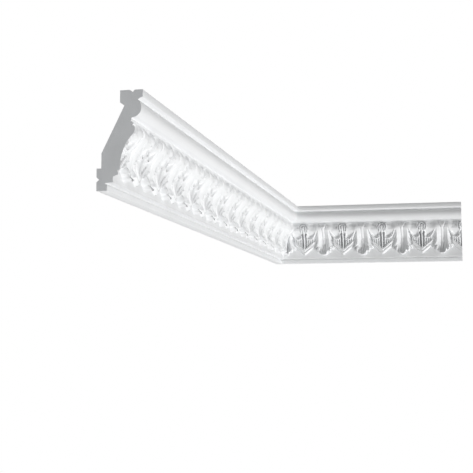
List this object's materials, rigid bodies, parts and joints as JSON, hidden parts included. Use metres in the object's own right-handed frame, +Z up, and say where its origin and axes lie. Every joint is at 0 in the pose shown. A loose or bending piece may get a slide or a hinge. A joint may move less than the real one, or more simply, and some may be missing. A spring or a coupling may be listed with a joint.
{
  "type": "cornice moulding inside corner",
  "caption": "Inside corner of a carved leaf-and-dart ceiling cornice: a long and a short length of moulded polyurethane, mitred together and cut square at the far ends.",
  "frame": {"origin": "foot of the room's corner line, where the two wall planes meet at the level of the cornice's lower edge", "axes": "+Z up to the ceiling; the left length lies on the wall plane X = 0 and runs along -Y, the right length lies on the wall plane Y = 0 and runs along +X"},
  "size_m": [0.334, 0.9765, 0.1],
  "materials": {
    "primed_polyurethane": "smooth white primer, satin, over moulded foam"
  },
  "bodies": {
    "root": {"left_length": "primed_polyurethane", "right_length": "primed_polyurethane"}
  },
  "joints": []
}
